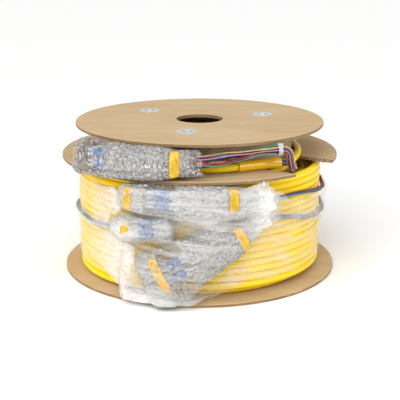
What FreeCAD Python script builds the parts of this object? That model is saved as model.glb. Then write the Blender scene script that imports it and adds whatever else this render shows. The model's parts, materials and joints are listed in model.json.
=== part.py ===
import FreeCAD, Part
import math
import os

# A three-flange fibreboard reel that carries a pre-terminated optical trunk cable.
# The reel stands on its bottom flange. The origin is the centre of the bottom flange's
# underside and +Z is the reel's axis. All lengths are in millimetres, angles in degrees.

Vector = FreeCAD.Vector

# ---------------------------------------------------------------- driving dimensions
flange_radius = 225.0            # bottom and middle flange
top_flange_radius = 202.0
flange_thickness = 5.0
flange_edge_break = 0.8
arbor_radius = 38.0              # hole through all three flanges
barrel_radius = 152.0            # outside of both barrels
barrel_wall = 6.0
main_depth = 182.4               # between the bottom and the middle flange
upper_depth = 45.5               # between the middle and the top flange

slot_angle = -32.0               # direction in which the pay-in slot opens
slot_width = 112.0
slot_offset = -16.0              # the slot's middle line passes the axis at this distance
slot_corner_radius = 14.0

tie_circle_radius = 112.0
tie_count = 3
tie_first_angle = 20.0
tie_rod_diameter = 8.0
tie_hole_clearance = 0.4
tie_head_radius = 7.0
tie_head_height = 2.0
tie_rod_past_nut = 1.0
nut_across_flats = 13.0
nut_height = 4.0
washer_radius = 17.0
washer_sheet = 1.0
washer_cup_radius = 9.5          # outside of the dished middle
washer_cup_depth = 3.0           # how far the cup's floor lies under the flange's face

cable_diameter = 11.4
cable_layers = 4
groove_depth = 3.2               # between neighbouring turns of the outer layer
lay_gap = 0.3                    # between soft pieces that lie on each other
layer_pitch = cable_diameter + lay_gap

tail_diameter_inner = 14.0       # 24 tails together, loosely
tail_diameter_outer = 7.0        # 8 tails together, loosely
tail_stand_off = 2.2             # keeps a tail's straight runs clear of the round winding
tail_splay = 0.35                # how far the outer tails part, as a share of their own offset

sleeve_wall = 1.3                # breakout sleeve where the jacket ends
sleeve_fit = 1.0                 # between the jacket and the sleeve, all round
sleeve_radius = cable_diameter / 2 + sleeve_fit + sleeve_wall
sleeve_length = 72.0
sleeve_overlap = 16.0            # how far the cable goes into the sleeve
organizer_length = 6.0

wrap_wall = 4.0                  # bubble wrap, two layers
wrap_squareness = 2.8            # the exponent of a wrap's rounded section
band_thickness = 0.5
band_width = 14.0
band_gap = 1.0
elastic_diameter = 1.8

plug_width = 4.5                 # small-form-factor connector, square nose
plug_length = 12.0
body_width = 5.8
body_length = 12.0
duplex_pitch = 6.25
boot_length = 18.0
boot_radius = 2.6
boot_tip_radius = 1.7
boot_bore_radius = 1.05
ferrule_radius = 0.625
ferrule_length = 14.0
ferrule_stand_out = 5.5
cap_radius = 2.1
cap_length = 11.0
clip_wall = 0.8
clip_length = 7.0
trigger_rise = 1.4               # under the latch trigger's free end, over the clip's side
trigger_tip = 0.8                # the trigger's thickness there
clearance = 0.1                  # between pieces that slide into each other

film_thickness = 0.8
film_over_tails = 4.5            # between the film and the tails on the winding
film_over_breakout = 10.0        # between the film and the outer breakout sleeve
film_over_bundles = 8.0          # between the film and the bundles in front
film_above_floor = 4.0           # the film's lower edge over the bottom flange
film_below_ceiling = 9.4         # the film's upper edge under the middle flange
upper_below_ceiling = (21.0, 28.3)   # the upper bundle's centre line, start and end
lower_above_floor = 31.0         # the lower bundle's centre line at its closed end

# ---------------------------------------------------------------- derived levels
main_floor = flange_thickness
main_ceiling = main_floor + main_depth
upper_floor = main_ceiling + flange_thickness
upper_ceiling = upper_floor + upper_depth
reel_top = upper_ceiling + flange_thickness
film_bottom = main_floor + film_above_floor
film_top = main_ceiling - film_below_ceiling
winding_radius = barrel_radius + cable_layers * layer_pitch
turns_per_layer = int(main_depth / cable_diameter)


def polar(radius, azimuth, height):
    """A point at a radius and azimuth about the reel's axis."""
    angle = math.radians(azimuth)
    return Vector(radius * math.cos(angle), radius * math.sin(angle), height)


def cylinder(radius, height, centre, axis=Vector(0, 0, 1)):
    return Part.makeCylinder(radius, height, centre, axis)


def tube(outer, inner, height, centre, axis=Vector(0, 0, 1)):
    return cylinder(outer, height, centre, axis).cut(cylinder(inner, height, centre, axis))


def tie_places(height):
    """The points on the three tie rods' axes at a height."""
    step = 360.0 / tie_count
    return [polar(tie_circle_radius, tie_first_angle + step * i, height) for i in range(tie_count)]


# ---------------------------------------------------------------- reel
def disc(radius, bottom):
    """A flange with broken rim edges, arbor hole and tie rod holes, before the washer seats."""
    top, rim = bottom + flange_thickness, radius - flange_edge_break
    corners = [(arbor_radius, bottom), (rim, bottom), (radius, bottom + flange_edge_break),
               (radius, top - flange_edge_break), (rim, top), (arbor_radius, top)]
    outline = [Vector(x, 0, z) for x, z in corners + corners[:1]]
    plate = Part.Face(Part.makePolygon(outline)).revolve(Vector(0, 0, 0), Vector(0, 0, 1), 360)
    hole = tie_rod_diameter / 2 + tie_hole_clearance
    for place in tie_places(bottom):
        plate = plate.cut(cylinder(hole, flange_thickness, place))
    return plate


def outer_flange(radius, bottom, face, inward):
    """A flange whose outer face at height face takes the washers' dished middles."""
    plate = disc(radius, bottom)
    seat = washer_cup_radius + clearance
    depth = washer_cup_depth + washer_sheet + clearance
    for place in tie_places(face):
        plate = plate.cut(cylinder(seat, depth, place, inward))
        if inward.z > 0:
            plate = plate.cut(cylinder(washer_radius + clearance, washer_sheet, place, inward))
    return plate


def middle_flange():
    """The flange between the compartments, with the slot the cable comes up through."""
    plate = disc(flange_radius, main_ceiling)
    reach = 2 * flange_radius
    cutter = Part.makeBox(reach, slot_width, flange_thickness,
                          Vector(barrel_radius, slot_offset - slot_width / 2, main_ceiling))
    inner = [e for e in cutter.Edges
             if abs(e.BoundBox.XMax - barrel_radius) < clearance and e.BoundBox.ZLength > clearance]
    cutter = cutter.makeFillet(slot_corner_radius, inner)
    cutter.rotate(Vector(0, 0, 0), Vector(0, 0, 1), slot_angle)
    return plate.cut(cutter)


def barrel(bottom, height):
    return tube(barrel_radius, barrel_radius - barrel_wall, height, Vector(0, 0, bottom))


def washer(place, inward):
    """A dished washer: a rim on the flange's face and a cup sunk into it."""
    rim_back = place if inward.z > 0 else place - inward * washer_sheet
    rim = cylinder(washer_radius, washer_sheet, rim_back, inward)
    cup = cylinder(washer_cup_radius, washer_cup_depth + washer_sheet, place, inward)
    hollow = cylinder(washer_cup_radius - washer_sheet, washer_cup_depth + washer_sheet,
                      place - inward * washer_sheet, inward)
    hole = cylinder(tie_rod_diameter / 2 + clearance, washer_cup_depth + 2 * washer_sheet,
                    place, inward)
    return rim.fuse(cup).cut(hollow).cut(hole)


def hexagon(across_flats, height, place):
    radius = across_flats / math.sqrt(3)
    corners = [place + polar(radius, 60 * i, 0) for i in range(7)]
    return Part.Face(Part.makePolygon(corners)).extrude(Vector(0, 0, height))


def tie_rod(place):
    """A rod with a low head in the bottom washer's cup, up through the top nut."""
    shank = cylinder(tie_rod_diameter / 2, rod_top() - washer_cup_depth + tie_head_height,
                     place + Vector(0, 0, washer_cup_depth - tie_head_height))
    head = cylinder(tie_head_radius, tie_head_height,
                    place + Vector(0, 0, washer_cup_depth - tie_head_height))
    return shank.fuse(head)


def nut_seat():
    """The height of the top cups' floors, on which the nuts sit."""
    return reel_top - washer_cup_depth


def rod_top():
    return nut_seat() + nut_height + tie_rod_past_nut


def tie_nut(place):
    body = hexagon(nut_across_flats, nut_height, place)
    return body.cut(cylinder(tie_rod_diameter / 2, nut_height, place))


# ---------------------------------------------------------------- cable
def winding():
    """The wound cable's outer shape: a ring with one groove between turns."""
    bottom = main_floor + lay_gap
    top = main_ceiling - lay_gap
    step = (top - bottom) / turns_per_layer
    inside = barrel_radius + lay_gap
    valley = winding_radius - groove_depth
    edges = [Part.makeLine(Vector(valley, 0, top), Vector(inside, 0, top)),
             Part.makeLine(Vector(inside, 0, top), Vector(inside, 0, bottom)),
             Part.makeLine(Vector(inside, 0, bottom), Vector(valley, 0, bottom))]
    for i in range(turns_per_layer):
        low = bottom + step * i
        crest = Vector(winding_radius, 0, low + step / 2)
        edges.append(Part.Arc(Vector(valley, 0, low), crest, Vector(valley, 0, low + step)).toShape())
    return Part.Face(Part.Wire(edges)).revolve(Vector(0, 0, 0), Vector(0, 0, 1), 360)


def route_wire(points):
    """Straight runs through the points, joined by the largest tangent arcs that fit."""
    edges, start, radii = [], points[0], []
    for before, corner, after in zip(points, points[1:], points[2:]):
        back, ahead = before - corner, after - corner
        half_turn = (math.pi - back.getAngle(ahead)) / 2
        cut_back = 0.45 * min(back.Length, ahead.Length)
        radii.append(cut_back / math.tan(half_turn))
        back.normalize()
        ahead.normalize()
        first, last = corner + back * cut_back, corner + ahead * cut_back
        middle = (back + ahead).normalize()
        centre = corner + middle * (radii[-1] / math.cos(half_turn))
        edges.append(Part.makeLine(start, first))
        edges.append(Part.Arc(first, centre - middle * radii[-1], last).toShape())
        start = last
    edges.append(Part.makeLine(start, points[-1]))
    return Part.Wire(edges), radii


def routed(name, points, diameter):
    """A plain round tube along a route; prints its radii, length and volume error."""
    path, radii = route_wire(points)
    heading = points[1] - points[0]
    ring = Part.Wire(Part.makeCircle(diameter / 2, points[0], heading))
    solid = path.makePipeShell([ring], True, False)
    expected = math.pi * diameter ** 2 / 4 * path.Length
    print(name, "length %.0f" % path.Length, "volume ratio %.4f" % (solid.Volume / expected),
          "tightest radius %.1f" % min(radii), "of", " ".join("%.0f" % r for r in radii))
    return solid


# ---------------------------------------------------------------- breakouts
def breakout(prefix, cable_end, tail_end):
    """A sleeve over the jacket's end, a potted core and the organizer the tails leave."""
    axis = (tail_end - cable_end).normalize()
    inner = sleeve_radius - sleeve_wall
    core_start = cable_end + axis * sleeve_overlap
    core_length = sleeve_length - sleeve_overlap - organizer_length
    return {
        prefix + "_breakout_sleeve": tube(sleeve_radius, inner, sleeve_length, cable_end, axis),
        prefix + "_breakout_core": cylinder(inner - clearance, core_length, core_start, axis),
        prefix + "_breakout_organizer": cylinder(inner - clearance, organizer_length,
                                                 core_start + axis * core_length, axis),
    }


inner_cable_end = polar(174.0, -71.0, upper_floor + sleeve_radius + lay_gap)
inner_tail_way = Vector(math.cos(math.radians(26.0)), math.sin(math.radians(26.0)), 0)
inner_tail_end = inner_cable_end + inner_tail_way * sleeve_length

outer_sleeve_radius = winding_radius + sleeve_radius + 2 * lay_gap
outer_sleeve_height = main_floor + 0.66 * main_depth
outer_sleeve_middle = polar(outer_sleeve_radius, 90.0, outer_sleeve_height)
outer_tail_way = Vector(1, 0, 0)
outer_cable_end = outer_sleeve_middle - outer_tail_way * (sleeve_length / 2)
outer_tail_end = outer_sleeve_middle + outer_tail_way * (sleeve_length / 2)


# ---------------------------------------------------------------- leads and tails
def inner_lead_points():
    """From the winding, up through the slot, once round the upper barrel, to the sleeve."""
    turn_radius = barrel_radius + cable_diameter / 2 + 2.0
    rest = upper_floor + cable_diameter / 2 + lay_gap
    dip = main_ceiling - cable_diameter / 2 + 1.0
    points = [polar(turn_radius + 11, -74, dip - 3.8), polar(turn_radius + 13, -60, dip - 3.5),
              polar(turn_radius + 13, -46, dip + 3), polar(turn_radius + 12, -33, dip + 10.5),
              polar(turn_radius + 8, -19, rest + 1.5)]
    points += [polar(turn_radius, azimuth, rest) for azimuth in range(-1, 248, 19)]
    return points + [polar(turn_radius + 8, 265, rest),
                     inner_cable_end - inner_tail_way * 28 + Vector(0, 0, -1.6),
                     inner_cable_end + inner_tail_way * (sleeve_overlap - lay_gap)]


def outer_lead_points():
    """From the outer layer's last turn, down over the winding, to the outer sleeve."""
    over = winding_radius + cable_diameter / 2 + lay_gap
    level = outer_sleeve_height
    return [polar(winding_radius - cable_diameter / 2, 158, level + 32),
            polar(over - 2, 144, level + 25), polar(over, 130, level + 12),
            polar(over + 3, 116, level + 2), outer_cable_end - outer_tail_way * 22,
            outer_cable_end + outer_tail_way * (sleeve_overlap - lay_gap)]


def tail_start(index):
    """Where outer tail group index, of three, leaves the organizer's face."""
    radius = tail_diameter_outer / math.sqrt(3) + clearance / 2
    angle = math.radians(270 + 120 * index)
    return outer_tail_end + Vector(0, radius * math.cos(angle), radius * math.sin(angle))


def on_winding(azimuth, share):
    """A tail's centre where it lies on the winding, at a share of the main depth."""
    radius = winding_radius + tail_diameter_outer / 2 + tail_stand_off
    return polar(radius, azimuth, main_floor + share * main_depth)


def outer_tail_points(index, places, mouth, mouth_way):
    """From the organizer, over the winding through the places, into a bundle's mouth."""
    start = tail_start(index)
    splay = (start - outer_tail_end) * tail_splay
    return ([start, start + outer_tail_way * 8, start + outer_tail_way * 22 + splay]
            + [on_winding(azimuth, share) for azimuth, share in places]
            + [mouth + mouth_way * 24, mouth])


# ---------------------------------------------------------------- wrapped bundles
def rounded_square(value):
    """A cosine or sine pushed out towards a rounded square's."""
    return math.copysign(abs(value) ** (2 / wrap_squareness), value)


class Bundle:
    """A sleeve of bubble wrap, closed and round at its start, drawn in at its mouth."""

    def __init__(self, start, end, radii, half_depth, half_width, neck):
        self.start, self.end = start, end              # (azimuth, height)
        self.radii = radii                             # centre line's radius, start to end
        self.half_depth, self.half_width = half_depth, half_width
        self.neck = neck

    def centre(self, t):
        azimuth = self.start[0] + (self.end[0] - self.start[0]) * t
        height = self.start[1] + (self.end[1] - self.start[1]) * t
        radius = self.radii[0] + (self.radii[1] - self.radii[0]) * t
        return polar(radius, azimuth, height)

    def frame(self, t):
        """Centre, way towards the closed end, outward way and the way across both."""
        step = 0.01
        way = (self.centre(t - step) - self.centre(t + step)).normalize()
        centre = self.centre(t)
        outward = Vector(centre.x, centre.y, 0)
        outward = (outward - way * outward.dot(way)).normalize()
        return centre, way, outward, way.cross(outward)

    def share(self, t):
        """The section's size at t against its full size."""
        cap, neck_from = 0.14, 0.72
        if t < cap:
            return math.sqrt(max(0.08, 1 - (1 - t / cap) ** 2))
        if t > neck_from:
            u = (t - neck_from) / (1 - neck_from)
            return 1 - (1 - self.neck) * u * u * (3 - 2 * u)
        return 1.0

    def section(self, t, inset):
        """The closed outline at t, inset from the wrap's outer face."""
        centre, way, outward, across = self.frame(t)
        depth = self.half_depth * self.share(t) - inset
        width = (self.half_width[0] + (self.half_width[1] - self.half_width[0]) * t)
        width = width * self.share(t) - inset
        corners = 16
        points = []
        for i in range(corners):
            angle = 2 * math.pi * i / corners
            points.append(centre + outward * (depth * rounded_square(math.cos(angle)))
                          + across * (width * rounded_square(math.sin(angle))))
        curve = Part.BSplineCurve()
        curve.interpolate(points, PeriodicFlag=True)
        return Part.Wire(curve.toShape())

    def loft(self, first, last, inset, sections):
        places = [first + (last - first) * i / (sections - 1) for i in range(sections)]
        return Part.makeLoft([self.section(t, inset) for t in places], True, False)

    def wrap(self):
        cavity = self.loft(0.1, 1.04, wrap_wall, 15)
        return self.loft(0.0, 1.0, 0.0, 17).cut(cavity)

    def length(self):
        steps = 20
        points = [self.centre(i / steps) for i in range(steps + 1)]
        return sum((b - a).Length for a, b in zip(points, points[1:]))

    def band(self, t, width, gap, thickness):
        half = width / 2 / self.length()
        outer = self.loft(t - half, t + half, -gap - thickness, 3)
        return outer.cut(self.loft(t - 1.2 * half, t + 1.2 * half, -gap, 3))

    def placed(self, shape, t, out, over):
        """A shape made along +X, moved to t and turned so that +X is the closed end's way."""
        centre, way, outward, across = self.frame(t)
        origin = centre + outward * out + across * over
        matrix = FreeCAD.Matrix(way.x, outward.x, across.x, origin.x,
                                way.y, outward.y, across.y, origin.y,
                                way.z, outward.z, across.z, origin.z, 0, 0, 0, 1)
        return shape.transformed(matrix)


def on_main(azimuth, share):
    return (azimuth, main_floor + share * main_depth)


lying = winding_radius + 3.0     # under a bundle's wrap and its bands
bundles = {
    "inner": Bundle((-144, upper_floor + upper_depth / 2), (-91, upper_floor + upper_depth / 2),
                    (barrel_radius + 67, barrel_radius + 50), 29.0,
                    (upper_depth / 2 - 0.9, upper_depth / 2 - 2.0), 0.80),
    "upper": Bundle((-121, main_ceiling - upper_below_ceiling[0]),
                    (-64, main_ceiling - upper_below_ceiling[1]),
                    (lying + 22, lying + 22), 22.0, (19.0, 26.0), 0.50),
    "middle": Bundle(on_main(-99.5, 0.64), on_main(-125, 0.60),
                     (lying + 19, lying + 19), 19.0, (19.0, 21.0), 0.52),
    "lower": Bundle((-111, main_floor + lower_above_floor), on_main(-66, 0.70),
                    (lying + 24, lying + 22), 23.0, (44.0, 22.0), 0.42),
}


# ---------------------------------------------------------------- connectors
def plug_housing():
    """A square nose on a wider body, bored for its ferrule. The nose points along +X."""
    nose = Part.makeBox(plug_length, plug_width, plug_width,
                        Vector(0, -plug_width / 2, -plug_width / 2))
    body = Part.makeBox(body_length, body_width, body_width,
                        Vector(-body_length, -body_width / 2, -body_width / 2))
    bore = cylinder(ferrule_radius + clearance, ferrule_length, Vector(
        plug_length - ferrule_length + ferrule_stand_out, 0, 0), Vector(1, 0, 0))
    return nose.fuse(body).cut(bore)


def ferrule():
    back = plug_length + ferrule_stand_out - ferrule_length
    return cylinder(ferrule_radius, ferrule_length, Vector(back, 0, 0), Vector(1, 0, 0))


def dust_cap():
    front = Vector(plug_length + clearance, 0, 0)
    cup = cylinder(cap_radius, cap_length, front, Vector(1, 0, 0))
    return cup.cut(cylinder(ferrule_radius + clearance, ferrule_stand_out + 1, front, Vector(1, 0, 0)))


def boot():
    cone = Part.makeCone(boot_tip_radius, boot_radius, boot_length,
                         Vector(-body_length - boot_length, 0, 0), Vector(1, 0, 0))
    return cone.cut(cylinder(boot_bore_radius, boot_length,
                             Vector(-body_length - boot_length, 0, 0), Vector(1, 0, 0)))


def duplex_clip():
    """A clip round two bodies, with the latch trigger that leans over the noses."""
    hole = body_width + 2 * clearance
    wide = duplex_pitch + hole + 2 * clip_wall
    tall = hole + 2 * clip_wall
    back = -body_length / 2 - clip_length / 2
    block = Part.makeBox(clip_length, tall, wide, Vector(back, -tall / 2, -wide / 2))
    window = Part.makeBox(clip_length, hole, duplex_pitch + hole,
                          Vector(back, -hole / 2, -(duplex_pitch + hole) / 2))
    lever = [Vector(back, tall / 2 - clip_wall / 2, -plug_width / 2),
             Vector(back + clip_length, tall / 2 + trigger_rise, -plug_width / 2),
             Vector(back + clip_length, tall / 2 + trigger_rise + trigger_tip, -plug_width / 2),
             Vector(back, tall / 2 + clip_wall, -plug_width / 2)]
    trigger = Part.Face(Part.makePolygon(lever + lever[:1])).extrude(Vector(0, 0, plug_width))
    return block.cut(window).fuse(trigger)


connector_stations = {           # places along each bundle, and (out, over) of each pair
    "inner": ((0.25, 0.57), [(-11, -8.5), (0, -8.5), (11, -8.5), (-11, 8.5), (0, 8.5), (11, 8.5)]),
    "upper": ((0.30,), [(-6, -7.2), (5, -7.2), (-6, 7.2), (5, 7.2)]),
    "middle": ((0.42,), [(-6, -7.2), (5, -7.2), (-6, 7.2), (5, 7.2)]),
    "lower": ((0.27,), [(-6, -12), (5, -12), (-6, 8), (5, 8)]),
}


def connector_nodes(name):
    """Every connector of one bundle, by kind of piece."""
    bundle = bundles[name]
    stations, seats = connector_stations[name]
    kinds = {"connector_housings": plug_housing(), "ferrules": ferrule(),
             "dust_caps": dust_cap(), "connector_boots": boot()}
    solids = {kind: [] for kind in list(kinds) + ["duplex_clips"]}
    for t in stations:
        for out, over in seats:
            solids["duplex_clips"].append(bundle.placed(duplex_clip(), t, out, over))
            for side in (-duplex_pitch / 2, duplex_pitch / 2):
                for kind, shape in kinds.items():
                    solids[kind].append(bundle.placed(shape, t, out, over + side))
    return {name + "_" + kind: Part.Compound(group) for kind, group in solids.items()}


# ---------------------------------------------------------------- film
def film_outline(inset):
    """The film's plan: round the winding, and further out over the breakout and bundles."""
    near = winding_radius + tail_stand_off + tail_diameter_outer + film_over_tails - inset
    breakout_corner = math.hypot(outer_sleeve_radius + sleeve_radius, sleeve_length / 2)
    over_breakout = breakout_corner + film_over_breakout - inset
    over_bundles = lying + 2 * bundles["lower"].half_depth + film_over_bundles - inset
    stops = [(near, -20), (near, 18), (near, 50), (over_breakout, 84), (near, 162),
             (near, 180), (near, 200), (over_bundles, 270), (near, 340)]
    points = [polar(radius, azimuth, film_bottom) for radius, azimuth in stops]
    return Part.Wire([Part.Arc(*points[i:i + 3]).toShape() for i in range(0, 8, 2)])


def stretch_film():
    height = Vector(0, 0, film_top - film_bottom)
    outer = Part.Face(film_outline(0)).extrude(height)
    return outer.cut(Part.Face(film_outline(film_thickness)).extrude(height))


# ---------------------------------------------------------------- assembly
def reel_nodes():
    up, down = Vector(0, 0, 1), Vector(0, 0, -1)
    bottom_places, top_places = tie_places(0), tie_places(reel_top)
    return {
        "bottom_flange": outer_flange(flange_radius, 0, 0, up),
        "middle_flange": middle_flange(),
        "top_flange": outer_flange(top_flange_radius, upper_ceiling, reel_top, down),
        "main_barrel": barrel(main_floor, main_depth),
        "upper_barrel": barrel(upper_floor, upper_depth),
        "tie_rods": Part.Compound([tie_rod(p) for p in bottom_places]),
        "bottom_washers": Part.Compound([washer(p, up) for p in bottom_places]),
        "top_washers": Part.Compound([washer(p, down) for p in top_places]),
        "tie_nuts": Part.Compound([tie_nut(p) for p in tie_places(nut_seat())]),
    }


def mouth_of(name):
    """A bundle's mouth, drawn a little inside, and the way out of it."""
    centre, way, outward, across = bundles[name].frame(0.9)
    return centre, way * -1


def cable_nodes():
    nodes = {"cable_winding": winding(),
             "inner_cable_lead": routed("inner lead", inner_lead_points(), cable_diameter),
             "outer_cable_lead": routed("outer lead", outer_lead_points(), cable_diameter)}
    nodes.update(breakout("inner", inner_cable_end, inner_tail_end))
    nodes.update(breakout("outer", outer_cable_end, outer_tail_end))
    return nodes


def inner_tail_points():
    """Out of the inner sleeve, down into the slot, up past the top flange and back."""
    mouth, way = mouth_of("inner")
    start = inner_tail_end
    return [start, start + inner_tail_way * 14, Vector(143, -138, upper_floor + 4),
            Vector(140, -155, upper_floor + 3), Vector(135, -167, upper_floor + 15),
            Vector(132, -172, upper_ceiling - 8), Vector(112, -177, upper_ceiling - 8),
            Vector(75, -183, upper_floor + 33), mouth + way * 30, mouth]


def tail_nodes():
    right_high = [(60, 0.77), (46, 0.79), (31, 0.79), (15, 0.77), (0, 0.74), (-14, 0.73),
                  (-28, 0.78), (-41, 0.81)]
    right_low = [(60, 0.64), (46, 0.61), (31, 0.59), (15, 0.57), (0, 0.54), (-14, 0.53),
                 (-28, 0.55), (-41, 0.60)]
    round_back = [(66, 0.59), (65, 0.43), (73, 0.35), (88, 0.33), (104, 0.35), (120, 0.38),
                  (136, 0.42), (152, 0.46), (168, 0.50), (184, 0.54), (200, 0.55), (214, 0.53)]
    routes = {"middle": (0, round_back), "lower": (1, right_low), "upper": (2, right_high)}
    nodes = {"inner_tails": routed("inner tails", inner_tail_points(), tail_diameter_inner)}
    for name, (index, places) in routes.items():
        points = outer_tail_points(index, places, *mouth_of(name))
        nodes[name + "_tails"] = routed(name + " tails", points, tail_diameter_outer)
    return nodes


def bundle_nodes():
    band_places = {"inner": [0.84], "upper": [0.10, 0.75], "middle": [0.70], "lower": [0.17, 0.79]}
    nodes = {}
    for name, bundle in bundles.items():
        nodes[name + "_bubble_wrap"] = bundle.wrap()
        bands = [bundle.band(t, band_width, band_gap, band_thickness) for t in band_places[name]]
        nodes[name + "_tape_bands"] = Part.Compound(bands)
        nodes.update(connector_nodes(name))
    nodes["elastic_band"] = bundles["inner"].band(0.07, elastic_diameter, band_gap, elastic_diameter)
    return nodes


def main():
    os.makedirs("parts", exist_ok=True)
    nodes = {}
    for group in (reel_nodes(), cable_nodes(), tail_nodes(), bundle_nodes()):
        nodes.update(group)
    nodes["stretch_film"] = stretch_film()
    for name, shape in nodes.items():
        shape.exportStep(os.path.join("parts", name + ".step"))
        print(name, len(shape.Solids), "solid(s), valid", shape.isValid(),
              "volume %.0f" % shape.Volume)


main()
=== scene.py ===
import json
import math
import random

import bpy
import numpy as np
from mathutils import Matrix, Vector, noise

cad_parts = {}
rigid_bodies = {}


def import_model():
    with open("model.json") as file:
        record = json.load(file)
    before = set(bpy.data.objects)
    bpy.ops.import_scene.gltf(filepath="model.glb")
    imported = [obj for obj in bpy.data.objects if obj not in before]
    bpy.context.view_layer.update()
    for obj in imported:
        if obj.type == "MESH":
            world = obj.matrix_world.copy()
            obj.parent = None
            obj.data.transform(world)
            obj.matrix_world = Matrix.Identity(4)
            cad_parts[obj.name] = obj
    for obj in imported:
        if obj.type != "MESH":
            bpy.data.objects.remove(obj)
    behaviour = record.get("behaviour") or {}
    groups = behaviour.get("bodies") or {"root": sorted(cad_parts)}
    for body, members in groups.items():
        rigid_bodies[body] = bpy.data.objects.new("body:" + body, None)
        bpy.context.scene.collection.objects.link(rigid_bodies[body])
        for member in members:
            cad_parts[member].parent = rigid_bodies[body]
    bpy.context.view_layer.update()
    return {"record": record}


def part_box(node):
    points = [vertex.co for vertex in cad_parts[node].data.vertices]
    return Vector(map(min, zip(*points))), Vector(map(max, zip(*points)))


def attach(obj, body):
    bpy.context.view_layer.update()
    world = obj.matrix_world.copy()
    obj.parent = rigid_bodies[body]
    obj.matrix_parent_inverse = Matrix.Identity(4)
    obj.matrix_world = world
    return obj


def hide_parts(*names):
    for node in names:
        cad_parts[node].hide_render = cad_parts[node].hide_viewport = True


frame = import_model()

# A fibreboard reel of pre-terminated optical trunk cable, wrapped in film. Lengths are in
# metres and azimuths in degrees about the reel's axis, +Z up, in the CAD model's frame.

MM = 0.001
rng = random.Random(7)

# ---------------------------------------------------------------- sizes, from the frame
winding_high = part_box("cable_winding")[1]
barrel_low, barrel_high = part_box("main_barrel")
upper_low, upper_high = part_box("upper_barrel")
main_floor, main_ceiling = barrel_low[2], barrel_high[2]
upper_floor, upper_ceiling = upper_low[2], upper_high[2]
main_depth, upper_depth = main_ceiling - main_floor, upper_ceiling - upper_floor
winding_radius, barrel_radius = winding_high[0], barrel_high[0]
flange_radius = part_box("bottom_flange")[1][0]
top_flange_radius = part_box("top_flange")[1][0]

cable_diameter = 11.4 * MM
layer_pitch = 11.7 * MM
tail_diameter = 2.0 * MM
outer_group_diameter = 7.0 * MM
inner_group_diameter = 14.0 * MM
sleeve_radius = 8.0 * MM
sleeve_length = 72.0 * MM
sleeve_overlap = 16.0 * MM
slot_angle, slot_offset, slot_width = -32.0, -16.0 * MM, 112.0 * MM
lay_gap = 0.3 * MM               # between soft pieces that lie on each other
tail_stand_off = 2.2 * MM        # keeps the tails clear of the round winding
tail_splay = 0.35                # how far the outer tails part, as a share of their own offset


def polar(radius, azimuth, height):
    angle = math.radians(azimuth)
    return Vector((radius * math.cos(angle), radius * math.sin(angle), height))


def smooth(value):
    value = min(1.0, max(0.0, value))
    return value * value * (3 - 2 * value)


# ---------------------------------------------------------------- camera
def make_camera():
    data = bpy.data.cameras.new("camera")
    data.sensor_width = 36.0
    data.lens = 85.94
    data.shift_x = 0.001
    camera = bpy.data.objects.new("camera", data)
    camera.location = (0.0, -1.5467, 0.5314)
    camera.rotation_euler = (math.radians(90 - 15.44), 0.0, 0.0)
    bpy.context.collection.objects.link(camera)
    bpy.context.scene.camera = camera


make_camera()


# ---------------------------------------------------------------- meshes
def add_mesh(name, points, faces, materials, face_materials=None):
    mesh = bpy.data.meshes.new(name)
    mesh.from_pydata([tuple(p) for p in points], [], faces)
    for material in materials:
        mesh.materials.append(material)
    if face_materials is not None:
        mesh.polygons.foreach_set("material_index", face_materials)
    mesh.polygons.foreach_set("use_smooth", [True] * len(mesh.polygons))
    mesh.update()
    piece = bpy.data.objects.new(name, mesh)
    bpy.context.collection.objects.link(piece)
    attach(piece, "root")
    return piece


def grid_faces(rows, columns, closed):
    """Quads of a grid of rows by columns points, whose columns may close into rings."""
    faces = []
    for i in range(rows - 1):
        for j in range(columns if closed else columns - 1):
            k = (j + 1) % columns
            faces.append((i * columns + j, i * columns + k, (i + 1) * columns + k,
                          (i + 1) * columns + j))
    return faces


def smooth_line(points, name):
    """Points along the quadratic NURBS spline that has these control points."""
    curve = nurbs_curve(name, points, 0.0)
    mesh = bpy.data.meshes.new_from_object(curve)
    line = [v.co.copy() for v in mesh.vertices]
    bpy.data.meshes.remove(mesh)
    bpy.data.objects.remove(curve)
    return line


def nurbs_curve(name, points, radius):
    data = bpy.data.curves.new(name, "CURVE")
    data.dimensions = "3D"
    data.resolution_u = 4
    spline = data.splines.new("NURBS")
    spline.points.add(len(points) - 1)
    for slot, point in zip(spline.points, points):
        slot.co = (*point, 1.0)
    spline.order_u = 3
    spline.use_endpoint_u = True
    data.bevel_depth = radius
    data.bevel_resolution = 4
    data.use_fill_caps = True
    piece = bpy.data.objects.new(name, data)
    bpy.context.collection.objects.link(piece)
    return piece


def even_line(line, spacing):
    """The line again, with points at an even spacing."""
    reach = np.concatenate([[0], np.cumsum([(b - a).length for a, b in zip(line, line[1:])])])
    stops = np.linspace(0, reach[-1], max(2, int(reach[-1] / spacing)))
    table = np.array(line)
    return [Vector(p) for p in np.stack([np.interp(stops, reach, table[:, k]) for k in range(3)], 1)]


def line_length(line):
    return sum((b - a).length for a, b in zip(line, line[1:]))


def line_frames(line):
    """The way along the line and two ways across it at each point, turning as little as possible."""
    ways = [(line[min(i + 1, len(line) - 1)] - line[max(i - 1, 0)]).normalized()
            for i in range(len(line))]
    side = ways[0].orthogonal().normalized()
    frames = []
    for way in ways:
        side = (side - way * side.dot(way)).normalized()
        frames.append((way, side, way.cross(side)))
    return frames


def tube_parts(line, radius, sides):
    """Points and faces of a capped round tube along a line."""
    points, faces = [], grid_faces(len(line), sides, True)
    for centre, (way, side, over) in zip(line, line_frames(line)):
        for j in range(sides):
            angle = 2 * math.pi * j / sides
            points.append(centre + side * (radius * math.cos(angle)) + over * (radius * math.sin(angle)))
    last = (len(line) - 1) * sides
    faces.append(tuple(reversed(range(sides))))
    faces.append(tuple(range(last, last + sides)))
    return points, faces


# ---------------------------------------------------------------- materials
def add_node(tree, kind, **inputs):
    node = tree.nodes.new(kind)
    for name, value in inputs.items():
        node.inputs[name.replace("_", " ")].default_value = value
    return node


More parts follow.
